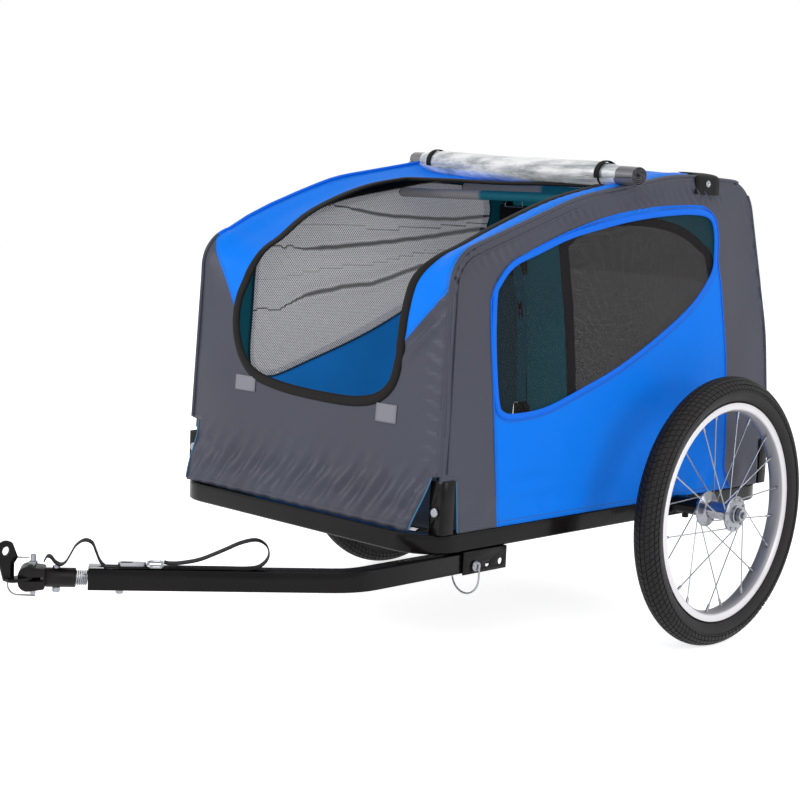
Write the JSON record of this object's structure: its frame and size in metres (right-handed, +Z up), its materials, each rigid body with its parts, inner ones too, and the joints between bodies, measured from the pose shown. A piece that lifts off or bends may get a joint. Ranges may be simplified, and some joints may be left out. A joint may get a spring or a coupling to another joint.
{
  "type": "folding bicycle cargo trailer",
  "caption": "Folding bicycle trailer with a fabric cabin, spoked wheels on quick-release axles and an offset tow bar with a sprung hitch.",
  "frame": {"origin": "on the ground under the middle of the whole bounding box", "axes": "+X forwards along the tow bar side of travel, +Y to the trailer's left, +Z up"},
  "size_m": [1.2406, 0.7502, 0.7075],
  "materials": {
    "aluminium": "polished",
    "black_fabric": "coated floor sheet",
    "black_plastic": "moulded, slight sheen",
    "black_steel": "gloss black paint",
    "black_webbing": "woven webbing",
    "bright_steel": "bright zinc and chrome",
    "clear_sheet": "clear soft film",
    "grey_fabric": "coated woven fabric",
    "tyre_rubber": "matt block tread",
    "window_mesh": "open mesh"
  },
  "bodies": {
    "trailer": {"axle_cross_tube": "black_steel", "base_frame": "black_steel", "floor_panel": "black_fabric", "front_and_roof_canopy": "grey_fabric", "front_cross_tube": "black_steel", "hitch_bolt": "bright_steel", "hitch_plug": "bright_steel", "left_axle_receiver": "black_steel", "left_front_bracket": "black_steel", "left_front_pivot_bolt": "bright_steel", "left_rear_bracket": "black_steel", "left_rear_pivot_bolt": "bright_steel", "left_roll_strap": "grey_fabric", "left_roof_snap": "bright_steel", "left_side_panel": "grey_fabric", "left_window": "window_mesh", "rain_cover_roll": "clear_sheet", "rear_panel": "grey_fabric", "rear_window": "window_mesh", "right_axle_receiver": "black_steel", "right_front_bracket": "black_steel", "right_front_pivot_bolt": "bright_steel", "right_rear_bracket": "black_steel", "right_rear_pivot_bolt": "bright_steel", "right_roll_strap": "grey_fabric", "right_roof_snap": "bright_steel", "right_side_panel": "grey_fabric", "right_window": "window_mesh", "safety_strap": "black_webbing", "snap_hook": "bright_steel", "strap_ring": "bright_steel", "tow_bar": "black_steel", "tow_bracket": "black_steel", "tow_pin": "bright_steel"},
    "left_hoop": {"left_hoop": "black_steel"},
    "right_hoop": {"right_hoop": "black_steel"},
    "front_roof_bar": {"front_roof_bar": "black_steel"},
    "rear_roof_bar": {"rear_roof_bar": "black_steel"},
    "tow_pin_bail": {"tow_pin_bail": "bright_steel"},
    "hitch_spring": {"hitch_spring": "bright_steel"},
    "hitch_head": {"hitch_sleeve": "black_plastic", "sleeve_bolt": "bright_steel", "hitch_housing": "black_plastic"},
    "hitch_plate": {"hitch_plate": "black_steel", "hitch_pin": "bright_steel"},
    "hitch_pin_clip": {"hitch_pin_clip": "bright_steel"},
    "left_wheel": {"left_tyre": "tyre_rubber", "left_rim": "aluminium", "left_spoked_hub": "bright_steel", "left_inner_bearing": "bright_steel", "left_outer_bearing": "bright_steel"},
    "left_axle": {"left_axle": "bright_steel"},
    "left_release_button": {"left_release_button": "bright_steel"},
    "right_wheel": {"right_tyre": "tyre_rubber", "right_rim": "aluminium", "right_spoked_hub": "bright_steel", "right_inner_bearing": "bright_steel", "right_outer_bearing": "bright_steel"},
    "right_axle": {"right_axle": "bright_steel"},
    "right_release_button": {"right_release_button": "bright_steel"}
  },
  "joints": [
    {"name": "left_hoop_fold", "type": "hinge", "parent": "trailer", "child": "left_hoop", "pos_m": [-0.36632, 0.2417, 0.2322], "axis": [1, 0, 0], "range_deg": [0, 86], "deforming": ["front_and_roof_canopy", "rear_panel", "rear_window", "left_side_panel", "right_side_panel", "left_window", "right_window", "rain_cover_roll", "left_roll_strap", "right_roll_strap", "left_roof_snap", "right_roof_snap"]},
    {"name": "right_hoop_fold", "type": "hinge", "parent": "trailer", "child": "right_hoop", "pos_m": [-0.36632, -0.24113, 0.2502], "axis": [-1, 0, 0], "range_deg": [0, 65.4], "deforming": ["front_and_roof_canopy", "rear_panel", "rear_window", "left_side_panel", "right_side_panel", "left_window", "right_window", "rain_cover_roll", "left_roll_strap", "right_roll_strap", "left_roof_snap", "right_roof_snap"]},
    {"name": "front_roof_bar_drop", "type": "slide", "parent": "trailer", "child": "front_roof_bar", "axis": [0, 0, -1], "range_m": [0, 0.40084]},
    {"name": "rear_roof_bar_drop", "type": "slide", "parent": "trailer", "child": "rear_roof_bar", "axis": [0, 0, -1], "range_m": [0, 0.4138]},
    {"name": "left_axle_release", "type": "slide", "parent": "trailer", "child": "left_axle", "axis": [0, 1, 0], "range_m": [0, 0.1]},
    {"name": "left_wheel_spin", "type": "hinge", "parent": "left_axle", "child": "left_wheel", "pos_m": [-0.36632, 0.333, 0.196], "axis": [0, 1, 0], "continuous": true},
    {"name": "left_release_button_press", "type": "slide", "parent": "left_axle", "child": "left_release_button", "axis": [0, -1, 0], "range_m": [0, 0.003], "stiffness_N_per_m": 2000},
    {"name": "right_axle_release", "type": "slide", "parent": "trailer", "child": "right_axle", "axis": [0, -1, 0], "range_m": [0, 0.1]},
    {"name": "right_wheel_spin", "type": "hinge", "parent": "right_axle", "child": "right_wheel", "pos_m": [-0.36632, -0.333, 0.196], "axis": [0, 1, 0], "continuous": true},
    {"name": "right_release_button_press", "type": "slide", "parent": "right_axle", "child": "right_release_button", "axis": [0, 1, 0], "range_m": [0, 0.003], "stiffness_N_per_m": 2000},
    {"name": "tow_pin_bail_swing", "type": "hinge", "parent": "trailer", "child": "tow_pin_bail", "pos_m": [0.07668, 0.2403, 0.1587], "axis": [0, 1, 0], "range_deg": [-70, 60]},
    {"name": "hitch_yaw", "type": "hinge", "parent": "trailer", "child": "hitch_spring", "pos_m": [0.53102, 0.04236, 0.1631], "axis": [0, 0, 1], "range_deg": [-15, 15], "stiffness_Nm_per_rad": 30, "deforming": ["hitch_spring", "safety_strap"]},
    {"name": "hitch_pitch", "type": "hinge", "parent": "hitch_spring", "child": "hitch_head", "pos_m": [0.53102, 0.04236, 0.1631], "axis": [0.6157, 0.788, 0], "range_deg": [-12, 12], "stiffness_Nm_per_rad": 30, "deforming": ["hitch_spring", "safety_strap"]},
    {"name": "hitch_plate_turn", "type": "hinge", "parent": "hitch_head", "child": "hitch_plate", "pos_m": [0.57562, 0.00752, 0.1631], "axis": [0, 0, 1], "range_deg": [-60, 60]},
    {"name": "hitch_pin_clip_lift", "type": "hinge", "parent": "hitch_plate", "child": "hitch_pin_clip", "pos_m": [0.57925, 0.00469, 0.1861], "axis": [-0.6157, -0.788, 0], "range_deg": [0, 95]}
  ],
  "couplings": [
    {"joint": "right_hoop_fold", "follows": "left_hoop_fold", "ratio": 0.76},
    {"joint": "front_roof_bar_drop", "follows": "left_hoop_fold", "m_per_rad": 0.26705},
    {"joint": "rear_roof_bar_drop", "follows": "left_hoop_fold", "m_per_rad": 0.27568}
  ]
}
